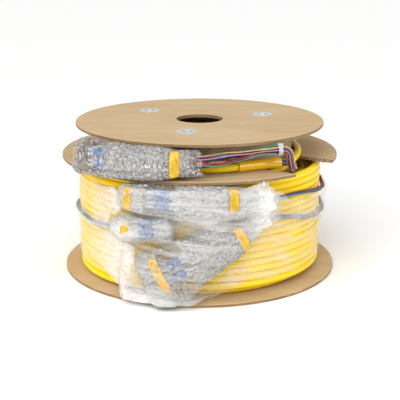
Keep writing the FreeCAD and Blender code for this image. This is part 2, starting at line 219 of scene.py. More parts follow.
def noise_node(tree, scale, stretch=(1, 1, 1), detail=5.0, rough=0.55, distortion=0.0, flat=False):
    """A noise texture in metres, stretched along each axis, in space or on the flat sheet."""
    if flat:
        place = tree.nodes.new("ShaderNodeAttribute")
        place.attribute_name = "flat"
    else:
        place = tree.nodes.new("ShaderNodeTexCoord")
    mapping = tree.nodes.new("ShaderNodeMapping")
    mapping.inputs["Scale"].default_value = stretch
    texture = add_node(tree, "ShaderNodeTexNoise", Scale=scale, Detail=detail, Roughness=rough,
                       Distortion=distortion)
    tree.links.new(place.outputs["Vector" if flat else "Object"], mapping.inputs["Vector"])
    tree.links.new(mapping.outputs["Vector"], texture.inputs["Vector"])
    return texture.outputs["Fac"]


def ramp(tree, value, stops):
    node = tree.nodes.new("ShaderNodeValToRGB")
    elements = node.color_ramp.elements
    while len(elements) < len(stops):
        elements.new(0.5)
    for element, (place, colour) in zip(elements, stops):
        element.position = place
        element.color = (*colour, 1.0)
    tree.links.new(value, node.inputs["Fac"])
    return node.outputs["Color"]


def grey_ramp(tree, value, low, high, dark, light):
    return ramp(tree, value, [(low, (dark,) * 3), (high, (light,) * 3)])


def mix(tree, factor, first, second, blend="MIX"):
    node = tree.nodes.new("ShaderNodeMix")
    node.data_type = "RGBA"
    node.blend_type = blend
    for socket, value in (("Factor", factor), ("A", first), ("B", second)):
        target = [s for s in node.inputs if s.name == socket and s.enabled][0]
        if hasattr(value, "links"):
            tree.links.new(value, target)
        else:
            target.default_value = value
    return [s for s in node.outputs if s.enabled][0]


def bump(tree, height, strength, distance, under=None):
    node = add_node(tree, "ShaderNodeBump", Strength=strength, Distance=distance)
    tree.links.new(height, node.inputs["Height"])
    if under is not None:
        tree.links.new(under, node.inputs["Normal"])
    return node.outputs["Normal"]


def new_material(name, roughness, **inputs):
    material = bpy.data.materials.new(name)
    material.use_nodes = True
    tree = material.node_tree
    shader = tree.nodes["Principled BSDF"]
    shader.inputs["Roughness"].default_value = roughness
    for socket, value in inputs.items():
        shader.inputs[socket.replace("_", " ")].default_value = value
    return material, tree, shader


def speckled(name, dark, light, scale, roughness, grain=0.0006, stretch=(1, 1, 1), **inputs):
    """A plain solid's finish: two close colours in soft blotches and a fine grain."""
    material, tree, shader = new_material(name, roughness, **inputs)
    blotches = noise_node(tree, scale, stretch)
    tree.links.new(ramp(tree, blotches, [(0.35, dark), (0.65, light)]), shader.inputs["Base Color"])
    fine = noise_node(tree, scale * 9, stretch, detail=3.0)
    tree.links.new(bump(tree, fine, 0.35, grain), shader.inputs["Normal"])
    tree.links.new(grey_ramp(tree, fine, 0.3, 0.7, roughness * 0.8, min(1.0, roughness * 1.2)),
                   shader.inputs["Roughness"])
    return material


def fibreboard():
    """Kraft fibreboard: short fibres, faint calender streaks, pale nicks, and a darker rim that is partly
    the sawn edge's own colour and partly painted shade.
    """
    material, tree, shader = new_material("kraft_fibreboard", 0.72, Specular_IOR_Level=0.25)
    blotches = noise_node(tree, 7.0, (1, 2.2, 1), detail=4.0)
    face = ramp(tree, blotches, [(0.3, (0.49, 0.34, 0.175)), (0.7, (0.59, 0.43, 0.245))])
    streaks = noise_node(tree, 55.0, (0.12, 1.6, 1), detail=6.0, rough=0.7)
    face = mix(tree, grey_ramp(tree, streaks, 0.35, 0.75, 0.0, 0.45), face, (0.65, 0.50, 0.32, 1))
    fibres = noise_node(tree, 420.0, (0.35, 1, 1), detail=8.0, rough=0.75, distortion=1.5)
    face = mix(tree, grey_ramp(tree, fibres, 0.52, 0.74, 0.0, 0.55), face, (0.36, 0.225, 0.115, 1))
    geometry = tree.nodes.new("ShaderNodeNewGeometry")
    parts = tree.nodes.new("ShaderNodeSeparateXYZ")
    tree.links.new(geometry.outputs["True Normal"], parts.inputs["Vector"])
    steep = add_node(tree, "ShaderNodeMath")
    steep.operation = "ABSOLUTE"
    tree.links.new(parts.outputs["Z"], steep.inputs[0])
    # Steep faces take the rim colour: partly the sawn edge's own darker colour, partly painted shade on the
    # sides.
    rim_and_shade_share = grey_ramp(tree, steep.outputs[0], 0.25, 0.8, 1.0, 0.0)
    layers = noise_node(tree, 60.0, (1, 1, 22), detail=3.0)
    rim = ramp(tree, layers, [(0.3, (0.20, 0.115, 0.05)), (0.75, (0.36, 0.235, 0.12))])
    tree.links.new(mix(tree, rim_and_shade_share, face, rim), shader.inputs["Base Color"])
    tree.links.new(bump(tree, fibres, 0.5, 0.0004), shader.inputs["Normal"])
    return material


def cable_jacket():
    """Smooth yellow sheath: slightly deeper where it was rubbed, faint orange-peel."""
    material, tree, shader = new_material("yellow_jacket", 0.36, Specular_IOR_Level=0.45)
    blotches = noise_node(tree, 22.0, detail=4.0)
    colour = ramp(tree, blotches, [(0.3, (1.0, 0.67, 0.004)), (0.7, (1.0, 0.77, 0.010))])
    scuffs = noise_node(tree, 260.0, (1, 1, 0.25), detail=5.0, rough=0.7)
    colour = mix(tree, grey_ramp(tree, scuffs, 0.58, 0.8, 0.0, 0.35), colour, (1.0, 0.80, 0.25, 1))
    tree.links.new(colour, shader.inputs["Base Color"])
    tree.links.new(bump(tree, scuffs, 0.2, 0.0003), shader.inputs["Normal"])
    tree.links.new(grey_ramp(tree, blotches, 0.3, 0.7, 0.30, 0.46), shader.inputs["Roughness"])
    return material


def bubble_film():
    """Crumpled bubble wrap: many layers of clear film, with painted shade in the creases, painted
    highlights on the folds and painted white glints.
    """
    material, tree, shader = new_material("bubble_film", 0.14, Specular_IOR_Level=0.9,
                                          Coat_Weight=0.7, Coat_Roughness=0.06)
    creases = noise_node(tree, 130.0, (0.55, 1, 1), detail=8.0, rough=0.72, distortion=1.6, flat=True)
    glints = noise_node(tree, 330.0, (0.8, 1, 1), detail=5.0, rough=0.75, distortion=2.2, flat=True)
    # Painted shade and highlights: the crease pattern turns near black in the creases and white on the
    # folds.
    colour = ramp(tree, creases, [(0.34, (0.09, 0.075, 0.06)), (0.43, (0.40, 0.37, 0.33)),
                                  (0.50, (0.76, 0.74, 0.71)), (0.57, (1.0, 1.0, 1.0))])
    # Painted shade: each wrap's colour is multiplied towards dark brown by its shade attribute, for the
    # shade it lies in.
    shade = tree.nodes.new("ShaderNodeAttribute")
    shade.attribute_name = "shade"
    colour = mix(tree, shade.outputs["Fac"], colour, (0.36, 0.33, 0.29, 1), "MULTIPLY")
    # Painted highlights: white glints mixed into the colour, on top of the painted shade.
    colour = mix(tree, grey_ramp(tree, glints, 0.50, 0.58, 0.0, 0.9), colour, (1, 1, 1, 1))
    tree.links.new(colour, shader.inputs["Base Color"])
    clear = tree.nodes.new("ShaderNodeAttribute")
    clear.attribute_name = "clarity"
    layers = grey_ramp(tree, creases, 0.36, 0.60, 0.97, 0.68)
    windows = grey_ramp(tree, glints, 0.42, 0.60, 0.02, 0.70)
    tree.links.new(mix(tree, clear.outputs["Fac"], layers, windows), shader.inputs["Alpha"])
    creased = bump(tree, creases, 1.0, 0.004)
    tree.links.new(bump(tree, glints, 0.9, 0.0015, creased), shader.inputs["Normal"])
    return material


def stretch_film():
    """Thin clinging film: milky where its layers bunch, drawn into glossy streaks round the reel; the white
    in those streaks is partly the film's own milkiness and partly painted highlights.
    """
    material, tree, shader = new_material("stretch_film", 0.16, Specular_IOR_Level=0.7,
                                          Coat_Weight=0.5, Coat_Roughness=0.05)
    shader.inputs["Base Color"].default_value = (0.97, 0.96, 0.94, 1)
    streaks = noise_node(tree, 95.0, (0.10, 1, 1), detail=6.0, rough=0.62, distortion=0.7, flat=True)
    wrinkles = noise_node(tree, 150.0, (0.45, 1, 1), detail=6.0, rough=0.7, distortion=1.5, flat=True)
    veil = tree.nodes.new("ShaderNodeAttribute")
    veil.attribute_name = "veil"
    # The streaks make the white film more opaque: partly the drawn film's own milkiness, partly painted
    # highlights.
    thin = grey_ramp(tree, streaks, 0.40, 0.68, 0.0, 0.40)
    thick = grey_ramp(tree, wrinkles, 0.34, 0.58, 0.48, 0.96)
    tree.links.new(mix(tree, veil.outputs["Fac"], thin, thick), shader.inputs["Alpha"])
    drawn = bump(tree, streaks, 0.9, 0.004)
    tree.links.new(bump(tree, wrinkles, 0.6, 0.002, drawn), shader.inputs["Normal"])
    return material


def amber_tape():
    material, tree, shader = new_material("amber_tape", 0.28, Specular_IOR_Level=0.6,
                                          Coat_Weight=0.4, Coat_Roughness=0.15)
    creases = noise_node(tree, 190.0, (1, 1, 0.5), detail=5.0, rough=0.7, distortion=1.0)
    tree.links.new(ramp(tree, creases, [(0.35, (0.50, 0.27, 0.0)), (0.62, (0.82, 0.50, 0.0))]),
                   shader.inputs["Base Color"])
    tree.links.new(bump(tree, creases, 0.7, 0.0012), shader.inputs["Normal"])
    tree.links.new(grey_ramp(tree, creases, 0.3, 0.5, 0.78, 0.97), shader.inputs["Alpha"])
    return material


def zinc():
    """Blue-passivated zinc plate: fine spangle and a few dull spots."""
    material, tree, shader = new_material("zinc_steel", 0.3, Metallic=0.85)
    spangle = noise_node(tree, 160.0, detail=3.0)
    tree.links.new(ramp(tree, spangle, [(0.3, (0.66, 0.76, 0.82)), (0.7, (0.93, 0.97, 1.0))]),
                   shader.inputs["Base Color"])
    tree.links.new(grey_ramp(tree, spangle, 0.3, 0.7, 0.15, 0.32), shader.inputs["Roughness"])
    tree.links.new(bump(tree, spangle, 0.12, 0.0003), shader.inputs["Normal"])
    return material


materials = {
    "kraft_fibreboard": fibreboard(),
    "grey_paperboard": speckled("grey_paperboard", (0.32, 0.25, 0.17), (0.42, 0.34, 0.24), 60, 0.8),
    "zinc_steel": zinc(),
    "yellow_jacket": cable_jacket(),
    "yellow_sleeve": speckled("yellow_sleeve", (0.97, 0.54, 0.0), (1.0, 0.62, 0.005), 90, 0.24,
                              Coat_Weight=0.5),
    "potting": speckled("potting", (0.015, 0.015, 0.017), (0.03, 0.03, 0.033), 200, 0.45),
    "blue_plug": speckled("blue_plug", (0.03, 0.12, 0.42), (0.055, 0.19, 0.55), 160, 0.32),
    "white_boot": speckled("white_boot", (0.62, 0.66, 0.70), (0.76, 0.79, 0.82), 160, 0.5),
    "ceramic": speckled("ceramic", (0.80, 0.80, 0.76), (0.86, 0.86, 0.83), 300, 0.12),
    "clear_cap": speckled("clear_cap", (0.55, 0.60, 0.63), (0.72, 0.76, 0.78), 220, 0.25),
    "elastic": speckled("elastic", (0.80, 0.50, 0.06), (0.90, 0.62, 0.14), 300, 0.42),
    "amber_tape": amber_tape(),
    "bubble_film": bubble_film(),
    "stretch_film": stretch_film(),
}

tail_colours = {
    "black": (0.012, 0.012, 0.016), "white": (0.80, 0.80, 0.79), "brown": (0.14, 0.05, 0.03),
    "violet": (0.17, 0.05, 0.24), "slate": (0.13, 0.15, 0.17), "red": (0.40, 0.02, 0.03),
    "green": (0.02, 0.24, 0.10), "blue": (0.03, 0.10, 0.38), "rose": (0.50, 0.24, 0.30),
    "orange": (0.70, 0.22, 0.03), "aqua": (0.10, 0.32, 0.34), "yellow": (0.66, 0.46, 0.10),
}
tail_materials = [speckled("tail_" + name, tuple(0.75 * c for c in colour), colour, 120, 0.35)
                  for name, colour in tail_colours.items()]


def dress_nodes():
    """Give every CAD node the material of its slot in the record."""
    for part in frame["record"]["subparts"]:
        piece = bpy.data.objects[part["node"]]
        material = materials.get(part["material_slot"])
        if material is None:
            continue
        piece.data.materials.clear()
        piece.data.materials.append(material)


# ---------------------------------------------------------------- wrapped bundles' shape
squareness = 2.8
cap_share, neck_from = 0.14, 0.72      # where the closed end's round cap ends and the neck begins


def rounded_square(value):
    return math.copysign(abs(value) ** (2 / squareness), value)


class Bundle:
    """A sleeve of bubble wrap, closed and round at its start, drawn in at its mouth."""

    def __init__(self, start, end, radii, half_depth, half_width, neck):
        self.start, self.end, self.radii = start, end, radii
        self.half_depth, self.half_width, self.neck = half_depth, half_width, neck
        steps = 30
        places = [self.centre(i / steps) for i in range(steps + 1)]
        self.length = line_length(places)

    def centre(self, t):
        def between(pair):
            return pair[0] + (pair[1] - pair[0]) * t
        return polar(between(self.radii), between((self.start[0], self.end[0])),
                     between((self.start[1], self.end[1])))

    def frame(self, t):
        way = (self.centre(t - 0.01) - self.centre(t + 0.01)).normalized()
        centre = self.centre(t)
        outward = Vector((centre.x, centre.y, 0))
        outward = (outward - way * outward.dot(way)).normalized()
        return centre, way, outward, way.cross(outward)

    def share(self, t):
        """The section's size at t against its full size."""
        if t < cap_share:
            return math.sqrt(max(0.0, 1 - (1 - t / cap_share) ** 4))
        if t > neck_from:
            return 1 - (1 - self.neck) * smooth((t - neck_from) / (1 - neck_from))
        return 1.0

    def point(self, t, angle):
        """A point on the wrap's outer face at an angle round it, and the face's way out."""
        centre, way, outward, across = self.frame(t)
        share = self.share(t)
        depth = self.half_depth * share
        width = (self.half_width[0] + (self.half_width[1] - self.half_width[0]) * t) * share
        out, over = rounded_square(math.cos(angle)), rounded_square(math.sin(angle))
        facing = (outward * (math.cos(angle) / max(depth, 1e-4))
                  + across * (math.sin(angle) / max(width, 1e-4))).normalized()
        if t < cap_share:
            facing = (facing + way * (1.2 * (1 - t / cap_share))).normalized()
        return centre + outward * depth * out + across * width * over, facing


def on_main(azimuth, share):
    return (azimuth, main_floor + share * main_depth)


lying = winding_radius + 3.0 * MM
middle_of_upper = (upper_floor + upper_ceiling) / 2
bundles = {
    "inner": Bundle((-144, middle_of_upper), (-91, middle_of_upper),
                    (barrel_radius + 67 * MM, barrel_radius + 50 * MM), 29 * MM,
                    (upper_depth / 2 - 0.9 * MM, upper_depth / 2 - 2 * MM), 0.80),
    "upper": Bundle((-121, main_ceiling - 21 * MM), (-64, main_ceiling - 28.3 * MM),
                    (lying + 22 * MM, lying + 22 * MM), 22 * MM, (19 * MM, 26 * MM), 0.50),
    "middle": Bundle(on_main(-99.5, 0.64), on_main(-125, 0.60), (lying + 19 * MM, lying + 19 * MM),
                     19 * MM, (19 * MM, 21 * MM), 0.52),
    "lower": Bundle((-111, main_floor + 31 * MM), on_main(-66, 0.70),
                    (lying + 24 * MM, lying + 22 * MM), 23 * MM, (44 * MM, 22 * MM), 0.42),
}
band_places = {"inner": [0.84], "upper": [0.10, 0.75], "middle": [0.70], "lower": [0.17, 0.79]}


# ---------------------------------------------------------------- cable
inner_cable_end = polar(174 * MM, -71, upper_floor + sleeve_radius + lay_gap)
inner_way = Vector((math.cos(math.radians(26)), math.sin(math.radians(26)), 0))
inner_tail_end = inner_cable_end + inner_way * sleeve_length
outer_sleeve_height = main_floor + 0.66 * main_depth
outer_middle = polar(winding_radius + sleeve_radius + 2 * lay_gap, 90, outer_sleeve_height)
outer_way = Vector((1, 0, 0))
outer_cable_end = outer_middle - outer_way * (sleeve_length / 2)
outer_tail_end = outer_middle + outer_way * (sleeve_length / 2)


def inner_lead_points():
    """From the inner sleeve, once round the upper barrel and down the slot."""
    turn_radius = barrel_radius + cable_diameter / 2 + 2 * MM
    rest = upper_floor + cable_diameter / 2 + lay_gap
    dip = main_ceiling - cable_diameter / 2 + 1 * MM
    points = [inner_cable_end + inner_way * sleeve_overlap,
              inner_cable_end - inner_way * 0.028 - Vector((0, 0, 1.6 * MM)),
              polar(turn_radius + 8 * MM, 265, rest)]
    points += [polar(turn_radius, azimuth, rest) for azimuth in range(246, -2, -19)]
    return points + [polar(turn_radius + 8 * MM, -19, rest + 1.5 * MM),
                     polar(turn_radius + 12 * MM, -33, dip + 10.5 * MM),
                     polar(turn_radius + 13 * MM, -46, dip + 3 * MM),
                     polar(turn_radius + 13 * MM, -60, dip - 3.5 * MM),
                     polar(turn_radius + 11 * MM, -74, dip - 3.8 * MM)]


def winding_points():
    """Four layers of turns, down and up the barrel in turn."""
    per_turn = 24
    step = 360 / per_turn
    tighten = 1 / math.cos(math.radians(step / 2))
    bottom = main_floor + cable_diameter / 2 + 0.4 * MM
    top = main_ceiling - cable_diameter / 2 - 0.4 * MM
    inner_top = top - 15 * MM
    layers = [(11, inner_top, bottom + 2 * MM), (11, bottom + 2 * MM, inner_top),
              (11, inner_top, bottom), (15, bottom, top)]
    azimuth, points = -90.0, []
    for index, (turns, start, end) in enumerate(layers):
        radius = barrel_radius + lay_gap + layer_pitch * (index + 0.5)
        count = int(turns * per_turn)
        if index == 3:
            count += int((360 + azimuth % 360 - 192) % 360 / step)
        for i in range(count):
            share = i / count
            settle = smooth(i / 4)
            here = radius - layer_pitch * (1 - settle) * (index > 0)
            wander = noise.noise(Vector((0.9 * azimuth / 57, index * 7.0, 3.0)))
            height = start + (end - start) * share + 1.5 * MM * wander * (index == 3)
            height = min(max(height, bottom), top)
            here += 0.7 * MM * noise.noise(Vector((azimuth / 31, index * 5.0, 9.0)))
            points.append(polar(here * tighten, azimuth, height))
            azimuth -= step
    return points


def outer_lead_points():
    """From the last turn, down over the winding at the back, into the outer sleeve."""
    over = winding_radius + cable_diameter / 2 + lay_gap
    level = outer_sleeve_height
    return [polar(over - 2 * MM, 172, level + 44 * MM), polar(over - 0.5 * MM, 158, level + 34 * MM),
            polar(over + 1 * MM, 144, level + 24 * MM), polar(over + 1 * MM, 130, level + 12 * MM),
            polar(over + 3 * MM, 116, level + 2 * MM), outer_cable_end - outer_way * 0.022,
            outer_cable_end + outer_way * sleeve_overlap]


def make_cable():
    points = inner_lead_points() + winding_points() + outer_lead_points()
    cable = nurbs_curve("trunk_cable", points, cable_diameter / 2)
    cable.data.resolution_u = 3
    cable.data.materials.append(materials["yellow_jacket"])
    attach(cable, "root")
    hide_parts("cable_winding", "inner_cable_lead", "outer_cable_lead")
    length = line_length(smooth_line(points, "cable_probe"))


make_cable()


# ---------------------------------------------------------------- fibre tails
def tail_start(index):
    radius = outer_group_diameter / math.sqrt(3) + 0.05 * MM
    angle = math.radians(270 + 120 * index)
    return outer_tail_end + Vector((0, radius * math.cos(angle), radius * math.sin(angle)))


def on_winding(azimuth, share):
    radius = winding_radius + outer_group_diameter / 2 + tail_stand_off
    return polar(radius, azimuth, main_floor + share * main_depth)


def mouth_of(name):
    centre, way, outward, across = bundles[name].frame(0.9)
    return centre, way * -1


def outer_tail_points(index, places, name):
    start, (mouth, way) = tail_start(index), mouth_of(name)
    splay = (start - outer_tail_end) * tail_splay
    return ([start, start + outer_way * 0.008, start + outer_way * 0.022 + splay]
            + [on_winding(*place) for place in places]
            + [mouth + way * 0.024, mouth])


def inner_tail_points():
    mouth, way = mouth_of("inner")
    return [inner_tail_end, inner_tail_end + inner_way * 0.014,
            Vector((0.143, -0.138, upper_floor + 4 * MM)), Vector((0.140, -0.155, upper_floor + 3 * MM)),
            Vector((0.135, -0.167, upper_floor + 15 * MM)), Vector((0.132, -0.172, upper_ceiling - 8 * MM)),
            Vector((0.112, -0.177, upper_ceiling - 8 * MM)), Vector((0.075, -0.183, upper_floor + 33 * MM)),
            mouth + way * 0.030, mouth]


def strand_offsets(count, spread):
    """Places of count strands across a group, filled from the middle outwards."""
    golden = math.pi * (3 - math.sqrt(5))
    return [(spread * math.sqrt((i + 0.4) / count), golden * i) for i in range(count)]


def make_tails(name, points, count, diameter, first_colour, fan):
    """Separate coloured strands that follow one route, more spread where fan says so."""
    line = even_line(smooth_line(points, name + "_route"), 5 * MM)
    frames = line_frames(line)
    vertices, faces, colours = [], [], []
    for index, (reach, angle) in enumerate(strand_offsets(count, diameter / 2 - tail_diameter / 2)):
        strand = []
        for i, (centre, (way, side, over)) in enumerate(zip(line, frames)):
            share = i / (len(line) - 1)
            wave = noise.noise(Vector((share * 5, index * 3.1, 1.0)))
            turn = angle + 2.0 * share + 0.9 * wave
            out = reach * fan(share) + 0.6 * MM * noise.noise(Vector((share * 9, index * 1.7, 5.0)))
            strand.append(centre + side * (out * math.cos(turn)) + over * (out * math.sin(turn)))
        points_here, faces_here = tube_parts(strand, tail_diameter / 2, 7)
        base = len(vertices)
        vertices += points_here
        faces += [tuple(base + k for k in face) for face in faces_here]
        colours += [(first_colour + index) % len(tail_materials)] * len(faces_here)
    piece = add_mesh(name + "_fibre_tails", vertices, faces, tail_materials, colours)
    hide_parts(name + "_tails")
    return line


def all_tails():
    right_high = [(60, 0.77), (46, 0.79), (31, 0.79), (15, 0.77), (0, 0.74), (-14, 0.73),
                  (-28, 0.78), (-41, 0.81)]
    right_low = [(60, 0.64), (46, 0.61), (31, 0.59), (15, 0.57), (0, 0.54), (-14, 0.53),
                 (-28, 0.55), (-41, 0.60)]
    round_back = [(66, 0.59), (65, 0.43), (73, 0.35), (88, 0.33), (104, 0.35), (120, 0.38),
                  (136, 0.42), (152, 0.46), (168, 0.50), (184, 0.54), (200, 0.55), (214, 0.53)]
    lines = {"inner": make_tails("inner", inner_tail_points(), 24, inner_group_diameter, 0,
                                 lambda s: 0.95 + 0.5 * smooth((s - 0.5) / 0.3))}
    for first, name, index, places in ((6, "middle", 0, round_back), (3, "lower", 1, right_low),
                                       (0, "upper", 2, right_high)):
        lines[name] = make_tails(name, outer_tail_points(index, places, name), 8,
                                 outer_group_diameter, first, lambda s: 1.35)
    return lines


def make_tie():
    """A thread wound a few times round the inner tails where they turn, with loose ends."""
    line = tail_lines["inner"]
    top = max(range(len(line)), key=lambda i: line[i].z)
    way, side, over = line_frames(line)[top]
    reach = inner_group_diameter / 2 + 1.6 * MM
    turns, steps, pitch, thread = 4, 14, 1.6 * MM, 1.1 * MM
    points = []
    for i in range(turns * steps + 1):
        angle = 2 * math.pi * i / steps
        middle = line[top] + way * (pitch * (i / steps - turns / 2))
        points.append(middle + side * (reach * math.cos(angle)) + over * (reach * math.sin(angle)))
    ends = [[points[k] + outward * out + Vector((0.2 * out, 0, drop)) for out, drop in
             ((0.002, -0.001), (0.003, -0.005), (0.004, -0.010))]
            for k, outward in ((0, side), (-1, side))]
    tie = nurbs_curve("tail_tie", ends[0][::-1] + points + ends[1], thread / 2)
    tie.data.materials.append(materials["white_boot"])
    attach(tie, "root")


tail_lines = all_tails()
make_tie()
dress_nodes()


# ---------------------------------------------------------------- bubble wrap
bubble_pitch = 10.0 * MM
bubble_radius = 4.3 * MM
bubble_height = 1.5 * MM
windows = {"inner": 0.22, "upper": 0.30, "middle": 0.42, "lower": 0.27}
shades = {"inner": 0.85, "upper": 0.25, "middle": 0.5, "lower": 0.85}    # painted shade: how far each wrap's colour is darkened
bellies = {"upper": (0.50, 0.30, 5 * MM), "lower": (0.20, 0.20, 13 * MM)}


def bell(value, middle, width):
    return math.exp(-((value - middle) / width) ** 2)


def bubble(along, around):
    """The height of the round bubbles at a place on the flat sheet, in a hexagonal pattern."""
    row_pitch = bubble_pitch * math.sqrt(3) / 2
    best = 1.0
    row = round(along / row_pitch)
    for r in (row - 1, row, row + 1):
        shift = 0.5 * bubble_pitch * (r % 2)
        column = round((around - shift) / bubble_pitch)
        distance = math.hypot(along - r * row_pitch, around - shift - column * bubble_pitch)
        best = min(best, distance / bubble_radius)
    return bubble_height * math.sqrt(max(0.0, 1 - best * best))


def crease(x, y, seed):
    """Sharp folds of a crumpled sheet at a place on it, about 0 with ridges up to 1."""
    return noise.ridged_multi_fractal(Vector((x, y, seed)), 0.9, 2.1, 4, 1.0, 2.0) - 1.0


def make_wrap(name, seed):
    """A bag of bubble wrap: bubbles, folds along it, a pinch under each tape, a loose mouth."""
    bundle = bundles[name]
    rows, columns = int(bundle.length / (1.25 * MM)), 150
    girth = math.pi * (bundle.half_depth + max(bundle.half_width))
    points, clear, flats = [], [], []
    folded = 16 if name == "inner" else 34
    for i in range(rows):
        for j in range(columns):
            angle = 2 * math.pi * j / columns
            around = girth * j / columns
            ragged = noise.noise(Vector((4 * math.cos(angle), 4 * math.sin(angle), seed)))
            t = (1.02 + 0.05 * ragged) * i / (rows - 1)
            along = t * bundle.length
            pinch = sum(bell(along, b * bundle.length, 8 * MM) for b in band_places[name])
            loose = smooth((t - 0.93) / 0.11)
            flat, facing = bundle.point(t, angle)
            lift = bubble(along, around) * (1 - 0.8 * min(1, pinch))
            lift += 1.5 * MM * crease(folded * along, 46 * around, seed)
            lift += 0.6 * MM * crease(150 * along, 150 * around, seed + 5.0) - 1.2 * MM * pinch
            lift += loose * (2.5 * MM * math.sin(5 * angle + seed) + 2 * MM * math.sin(11 * angle))
            if name in bellies:
                middle, reach, most = bellies[name]
                lift += most * bell(t, middle, reach) * max(0.0, -math.sin(angle)) ** 2
            place = flat + facing * (lift * smooth(t / 0.03))
            points.append(keep_clear(place, name))
            flats += [along, around, 0.0]
            window = 1 - smooth((abs(t - windows[name]) * bundle.length - 15 * MM) / (12 * MM))
            clear.append(max(window, smooth((t - 0.90) / 0.09)))
    piece = add_mesh(name + "_wrap", points, grid_faces(rows, columns, True),
                     [materials["bubble_film"]])
    add_attribute(piece, "clarity", "FLOAT", "value", clear)
    add_attribute(piece, "shade", "FLOAT", "value", [shades[name]] * len(clear))
    add_attribute(piece, "flat", "FLOAT_VECTOR", "vector", flats)
    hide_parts(name + "_bubble_wrap")
    return piece


def add_attribute(piece, name, kind, field, values):
    piece.data.attributes.new(name, kind, "POINT").data.foreach_set(field, values)


def keep_clear(place, name):
    """Move a point of a wrap out of the flanges and the winding."""
    radius = math.hypot(place.x, place.y)
    if name == "inner":
        if radius < flange_radius + 1 * MM:
            place.z = max(place.z, upper_floor + 0.4 * MM)
        else:
            place.z -= 0.55 * (radius - flange_radius)
        if radius < top_flange_radius + 1 * MM:
            place.z = min(place.z, upper_ceiling - 0.4 * MM)
        elif place.z > middle_of_upper:
            place.z += 0.22 * (radius - top_flange_radius)
        return place
    if radius < flange_radius:
        place.z = min(max(place.z, main_floor + 0.4 * MM), main_ceiling - 0.4 * MM)
    place.z = max(place.z, 6 * MM)
    least = winding_radius + 0.8 * MM
    if radius < least:
        place.x *= least / radius
        place.y *= least / radius
    return place


wraps = {name: make_wrap(name, seed) for seed, name in enumerate(bundles, 3)}


# ---------------------------------------------------------------- tape and elastic
tape_faces = {"inner": [(0.0, 0.75)], "upper": [(0.1, 0.8), (0.45, 0.6)], "middle": [(0.0, 0.22)],
              "lower": [(0.0, 0.62), (-0.2, 0.7)]}      # middle and reach of what lies on top


def make_bands(name):
    """Tape round each bundle; beyond its face it runs down into the wrap's folds."""
    bundle = bundles[name]
    half = 6.5 * MM / bundle.length
    points, faces, rows, columns = [], [], 9, 110
    for t_band, (middle, reach) in zip(band_places[name], tape_faces[name]):
        base = len(points)
        for i in range(rows):
            t = t_band + half * (2 * i / (rows - 1) - 1)
            for j in range(columns):
                angle = 2 * math.pi * j / columns - math.pi
                flat, facing = bundle.point(t, angle)
                edge = abs(angle - middle) - reach + 0.12 * noise.noise(flat * 200)
                lift = 1.1 * MM + 0.7 * MM * noise.noise(flat * 140) - 3.4 * MM * smooth(edge / 0.25)
                points.append(keep_clear(flat + facing * lift, name))
        faces += [tuple(base + k for k in face) for face in grid_faces(rows, columns, True)]
    piece = add_mesh(name + "_tape", points, faces, [materials["amber_tape"]])
    solid = piece.modifiers.new("thickness", "SOLIDIFY")
    solid.thickness = 0.3 * MM
    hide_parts(name + "_tape_bands")


for bundle_name in bundles:
    make_bands(bundle_name)


# ---------------------------------------------------------------- stretch film
def film_field(azimuths, heights):
    """The film's radius over a grid: tight over the winding, the tails and the bundles."""
    field = np.full((len(heights), len(azimuths)), winding_radius + 1.2 * MM)
    covered = [wraps[n].data.vertices for n in ("upper", "middle", "lower")]
    places = [v.co for vertices in covered for v in vertices]
    for name in ("upper", "middle", "lower"):
        places += [p + Vector((p.x, p.y, 0)).normalized() * 3.5 * MM for p in tail_lines[name]]
    low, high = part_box("outer_breakout_sleeve")
    for x in np.linspace(low[0], high[0], 40):
        for z in np.linspace(low[2], high[2], 9):
            places.append(Vector((x, high[1], z)))
    step_a, step_h = azimuths[1] - azimuths[0], heights[1] - heights[0]
    for p in places:
        i = int(round((p.z - heights[0]) / step_h))
        j = int(round((math.degrees(math.atan2(p.y, p.x)) - azimuths[0]) / step_a)) % len(azimuths)
        if 0 <= i < len(heights):
            field[i, j] = max(field[i, j], math.hypot(p.x, p.y))
    tight = field.copy()
    for step in range(90):
        around = 0.5 * (np.roll(field, 1, 1) + np.roll(field, -1, 1))
        above = np.vstack([field[:1], field[:-1]])
        below = np.vstack([field[1:], field[-1:]])
        field = np.maximum(tight, 0.40 * around + 0.17 * (above + below) + 0.26 * field)
    return field


def film_edges(azimuth):
    """The lowest and highest line of the film at an azimuth from -180 to 180."""
    ragged = noise.noise(Vector((azimuth / 9, 0, 4)))
    front = smooth((azimuth + 140) / 18) * smooth((-66 - azimuth) / 26)
    low = 28 * MM - 25.5 * MM * front + 3 * MM * ragged * (1 - front)
    over_upper = smooth((azimuth + 126) / 8) * smooth((-56 - azimuth) / 8)
    right = smooth((azimuth + 56) / 8) * smooth((8 - azimuth) / 20)
    high = 166 * MM + 18 * MM * over_upper - 20 * MM * right
    high += 7 * MM * bell(azimuth, -64, 5) * abs(noise.noise(Vector((azimuth * 1.7, 1, 6))))
    return low, high + 3 * MM * noise.noise(Vector((azimuth / 7, 8, 2)))


def film_bag(azimuth, z):
    """How far the film stands out under the lowest bundle, where it droops over the rim."""
    reach = smooth((azimuth + 130) / 13) * smooth((-84 - azimuth) / 10)
    return 43 * MM * reach * smooth((92 * MM - z) / (60 * MM))


